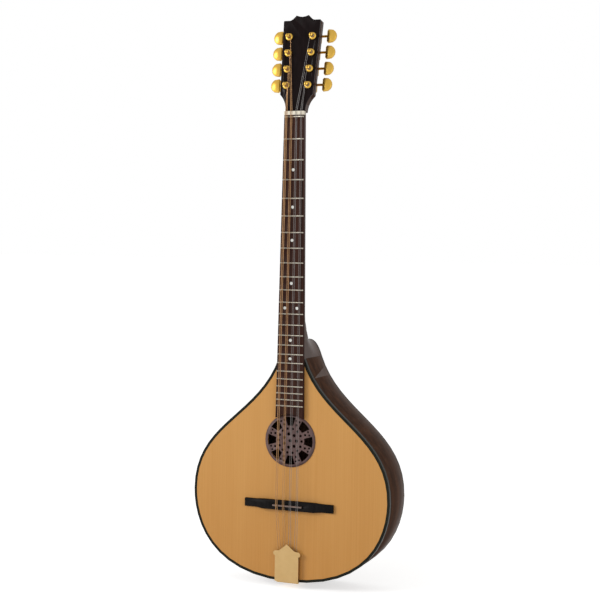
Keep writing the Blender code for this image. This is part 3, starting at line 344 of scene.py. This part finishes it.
def string_wire(name, colours, turns_per_metre, depth):
    """Drawn wire, with the ridges of its winding across it."""
    finish = Finish(name, metallic=1.0)
    turns = (finish.z * (2 * math.pi * turns_per_metre)).wave()
    tone = finish.noise(300, 300, 30)
    finish.set("Base Color", finish.blend(tone, *colours))
    finish.set("Roughness", tone * 0.15 + 0.25)
    finish.bump(turns, 0.06 * MM, depth)
    return finish.material


def pearl():
    finish = Finish("pearl_dots", coat=0.5)
    cloud = finish.noise(500, 500, 700)
    finish.set("Base Color", finish.blend(cloud, *PEARL))
    finish.set("Roughness", cloud * 0.2 + 0.15)
    return finish.material


def place(name, data):
    """A new object in the scene for a mesh, a lamp or a camera."""
    obj = bpy.data.objects.new(name, data)
    bpy.context.scene.collection.objects.link(obj)
    return obj


def mesh_of(name, bm, material):
    mesh = bpy.data.meshes.new(name)
    bm.to_mesh(mesh)
    bm.free()
    mesh.materials.append(material)
    return mesh


def shade_round(mesh, below):
    mesh.shade_smooth()
    mesh.set_sharp_from_angle(angle=below)


def stand_round_copy_in(name):
    """Stands a smooth-shaded copy with joined faces in for a CAD node, on the same body."""
    node = frame["nodes"][name]
    bm = bmesh.new()
    bm.from_mesh(node.data)
    bmesh.ops.remove_doubles(bm, verts=bm.verts, dist=WELD)
    mesh = mesh_of(name + "_smooth", bm, node.data.materials[0])
    shade_round(mesh, ROUND_BELOW)
    piece = place(name + "_smooth", mesh)
    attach(piece, BODY_OF[name])
    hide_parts(name)


def numbered(stem, numbers):
    return [f"{stem}_{i}" for i in numbers]


def dress_nodes(gold):
    """Gives every CAD node its finish."""
    finishes = [
        (["soundboard"], spruce_top()),
        (["back_plate", "side_left", "side_right"], figured_wood("ribs_and_back", RIB_WOOD, 0.07)),
        (["neck"], figured_wood("neck_wood", NECK_WOOD, 0.07, 40, 3.0)),
        (["top_binding", "back_binding"], black_wood("dark_binding", 0.35, 0.05, BINDING_BLACK)),
        (
            ["neck_block", "tail_block", "brace_upper", "brace_lower"],
            figured_wood("pale_wood_inside", INSIDE_WOOD, 0.3),
        ),
        (["fingerboard"], fingerboard_and_frets()),
        (["bridge", "end_pin"], black_wood("ebony", 0.4, 0.0, EBONY_BLACK)),
        (["headplate"], black_wood("black_headplate", 0.18, 0.05, HEADPLATE_BLACK)),
        (["rose"], rose_wood()),
        (["nut"], bone("bone", NUT_BONE)),
        # the saddle's bone is coloured dark brown
        (["saddle"], bone("dark_brown_bone", SADDLE_BONE)),
        (["tailpiece_base", "tailpiece_cover"], plating("pale_brass", PALE_BRASS, 0.42)),
        (
            numbered("string", WOUND_STRINGS),
            string_wire("bronze_windings", BRONZE, WINDINGS_PER_METRE, 0.5),
        ),
        (numbered("string", PLAIN_STRINGS), string_wire("plain_steel", STEEL, 1, 0.05)),
    ]
    for piece in ("case", "post", "key", "bushing"):
        finishes.append((numbered(f"tuner_{piece}", TUNERS), gold))
    for names, material in finishes:
        for name in names:
            mesh = frame["nodes"][name].data
            mesh.materials.clear()
            mesh.materials.append(material)
            if name not in FLAT_NODES:
                stand_round_copy_in(name)


def fix_detail(piece):
    shade_round(piece.data, DETAIL_ROUND_BELOW)
    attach(piece, INSTRUMENT)


def fret_z(number):
    return -SCALE * (1 - 2 ** (-number / 12))


def dot_spots():
    """Each dot's place across and along the board, midway between its two frets."""
    spots = [(0.0, number) for number in SINGLE_DOTS]
    spots += [(side * DOUBLE_DOT_OUT, DOUBLE_DOT) for side in (-1, 1)]
    return [(x, (fret_z(number - 1) + fret_z(number)) / 2) for x, number in spots]


def dot_ring(bm, x, z, radius, y):
    angles = [2 * math.pi * i / DOT_SIDES for i in range(DOT_SIDES)]
    return [bm.verts.new((x + radius * math.cos(a), y, z + radius * math.sin(a))) for a in angles]


def inlay_dots():
    """Pearl dots let into the face of the fingerboard, with eased rims."""
    bm = bmesh.new()
    levels = ((DOT_RADIUS, DOT_DEEP), (DOT_RADIUS, 0.0), (DOT_EASED * DOT_RADIUS, -DOT_PROUD))
    for x, z in dot_spots():
        rings = [dot_ring(bm, x, z, radius, y) for radius, y in levels]
        for one, two in zip(rings, rings[1:]):
            for i in range(DOT_SIDES):
                j = (i + 1) % DOT_SIDES
                bm.faces.new((one[i], one[j], two[j], two[i]))
        bm.faces.new(rings[0])
        bm.faces.new(rings[-1])
    bmesh.ops.recalc_face_normals(bm, faces=bm.faces)
    fix_detail(place("inlay_dots", mesh_of("inlay_dots", bm, pearl())))


def screw_head(gold):
    """A plain domed screw head about z, flat underneath. It isn't placed in the scene itself."""
    bm = bmesh.new()
    bmesh.ops.create_uvsphere(
        bm, u_segments=SCREW_SIDES, v_segments=SCREW_BANDS, radius=SCREW_RADIUS
    )
    for vert in bm.verts:
        vert.co.z = max(vert.co.z, 0) * SCREW_HIGH / SCREW_RADIUS
    bmesh.ops.remove_doubles(bm, verts=bm.verts, dist=SCREW_WELD)
    bmesh.ops.dissolve_degenerate(bm, edges=bm.edges, dist=SCREW_LEAST_EDGE)
    return bpy.data.objects.new("screw_head", mesh_of("screw_head", bm, gold))


def row_tree(gold):
    """A geometry tree that sets copies of one object out in a straight row."""
    tree = bpy.data.node_groups.new("row_of_screws", "GeometryNodeTree")
    add = tree.interface.new_socket
    add(name="Geometry", in_out="OUTPUT", socket_type="NodeSocketGeometry")
    add(name="Piece", in_out="INPUT", socket_type="NodeSocketObject")
    add(name="Count", in_out="INPUT", socket_type="NodeSocketInt")
    add(name="Start", in_out="INPUT", socket_type="NodeSocketVector")
    add(name="Step", in_out="INPUT", socket_type="NodeSocketVector")
    add(name="Turn", in_out="INPUT", socket_type="NodeSocketVector")
    ins = tree.nodes.new("NodeGroupInput")
    outs = tree.nodes.new("NodeGroupOutput")
    line = tree.nodes.new("GeometryNodeMeshLine")
    line.mode = "OFFSET"
    info = tree.nodes.new("GeometryNodeObjectInfo")
    copies = tree.nodes.new("GeometryNodeInstanceOnPoints")
    real = tree.nodes.new("GeometryNodeRealizeInstances")
    paint = tree.nodes.new("GeometryNodeSetMaterial")
    paint.inputs["Material"].default_value = gold
    join = tree.links.new
    join(ins.outputs["Count"], line.inputs["Count"])
    join(ins.outputs["Start"], line.inputs["Start Location"])
    join(ins.outputs["Step"], line.inputs["Offset"])
    join(ins.outputs["Piece"], info.inputs["Object"])
    join(line.outputs["Mesh"], copies.inputs["Points"])
    join(info.outputs["Geometry"], copies.inputs["Instance"])
    join(ins.outputs["Turn"], copies.inputs["Rotation"])
    join(copies.outputs["Instances"], real.inputs["Geometry"])
    join(real.outputs["Geometry"], paint.inputs["Geometry"])
    join(paint.outputs["Geometry"], outs.inputs["Geometry"])
    return tree


def row_mesh(name, tree, values):
    """The tree's row as a plain mesh; values go to its inputs by name."""
    holder = place(name + "_row", bpy.data.meshes.new(name + "_row"))
    row = holder.modifiers.new("row", "NODES")
    row.node_group = tree
    for item in tree.interface.items_tree:
        if item.in_out == "INPUT":
            row[item.identifier] = values[item.name]
    graph = bpy.context.evaluated_depsgraph_get()
    mesh = bpy.data.meshes.new_from_object(holder.evaluated_get(graph))
    bpy.data.objects.remove(holder)
    return mesh


def case_screws(gold):
    """The screws that hold the tuner cases, one row down each side of the head's back."""
    tree = row_tree(gold)
    head = screw_head(gold)
    tilt = HEAD_FRAME.to_3x3()
    turn = tilt @ Matrix.Rotation(math.pi, 3, "X")
    for name, side in (("screws_left", -1), ("screws_right", 1)):
        mirror = Matrix.Diagonal((side, 1, 1))
        values = {
            "Piece": head,
            "Count": TUNERS_EACH_SIDE,
            "Start": tuple(HEAD_FRAME @ (mirror @ FIRST_EAR)),
            "Step": tuple(tilt @ (mirror @ EAR_STEP)),
            "Turn": tuple(turn.to_euler()),
        }
        fix_detail(place(name, row_mesh(name, tree, values)))


def lay_floor():
    """A pale floor under the tail, which takes the instrument's shadow."""
    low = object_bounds()[0].z - FLOOR_GAP
    mesh = bpy.data.meshes.new("floor")
    corners = [(x * FLOOR_HALF, y * FLOOR_HALF, low) for x, y in ((-1, -1), (1, -1), (1, 1), (-1, 1))]
    mesh.from_pydata(corners, [], [(0, 1, 2, 3)])
    floor = place("floor", mesh)
    finish = Finish("white_floor", shine=0.0)
    finish.set("Roughness", FLOOR_ROUGHNESS)
    finish.set("Base Color", finish.blend(finish.noise(2, 2, 2), *FLOOR_WHITE))
    finish.set("Emission Color", WHITE)
    finish.set("Emission Strength", finish.backdrop_rays() * FLOOR_GLOW)
    mesh.materials.append(finish.material)


def light_world():
    """Soft even light; the camera, gloss and glass see plain white."""
    world = bpy.data.worlds.new("studio")
    bpy.context.scene.world = world
    world.use_nodes = True
    world.node_tree.nodes.clear()
    nodes = Nodes(world.node_tree)
    soft = nodes.node("ShaderNodeBackground", {"Color": DAYLIGHT, "Strength": DAYLIGHT_LEVEL})
    white = nodes.node("ShaderNodeBackground", {"Color": WHITE, "Strength": BACKDROP_LEVEL})
    shown = {0: nodes.backdrop_rays(), 1: soft.outputs[0], 2: white.outputs[0]}
    mix = nodes.node("ShaderNodeMixShader", shown)
    nodes.node("ShaderNodeOutputWorld", {0: mix.outputs[0]})


def hang_lamp(name, spot, size, level):
    """A square area lamp that lights a facing surface at the lamps' aim to this level."""
    beam = LAMPS_AIM - Vector(spot)
    lamp = bpy.data.lights.new(name, "AREA")
    lamp.shape = "SQUARE"
    lamp.size = size
    lamp.energy = level * math.pi**2 * beam.length_squared
    obj = place(name, lamp)
    obj.location = spot
    obj.rotation_euler = beam.to_track_quat("-Z", "Y").to_euler()


def set_camera():
    lens = bpy.data.cameras.new("photo_camera")
    lens.sensor_width = SENSOR_MM
    lens.lens = CAMERA_FOCAL_PX * SENSOR_MM / PHOTO_PX
    lens.clip_start = NEAREST_SEEN
    camera = place("photo_camera", lens)
    turn = Euler([math.radians(angle) for angle in CAMERA_TURN_DEGREES])
    camera.matrix_world = Matrix.Translation(CAMERA_PLACE) @ turn.to_matrix().to_4x4()
    bpy.context.scene.camera = camera


bpy.context.scene.view_settings.view_transform = "Standard"
gold_plate = plating("gold_plate", GOLD, 0.34)
dress_nodes(gold_plate)
inlay_dots()
case_screws(gold_plate)
lay_floor()
light_world()
for lamp_values in LAMPS:
    hang_lamp(*lamp_values)
set_camera()
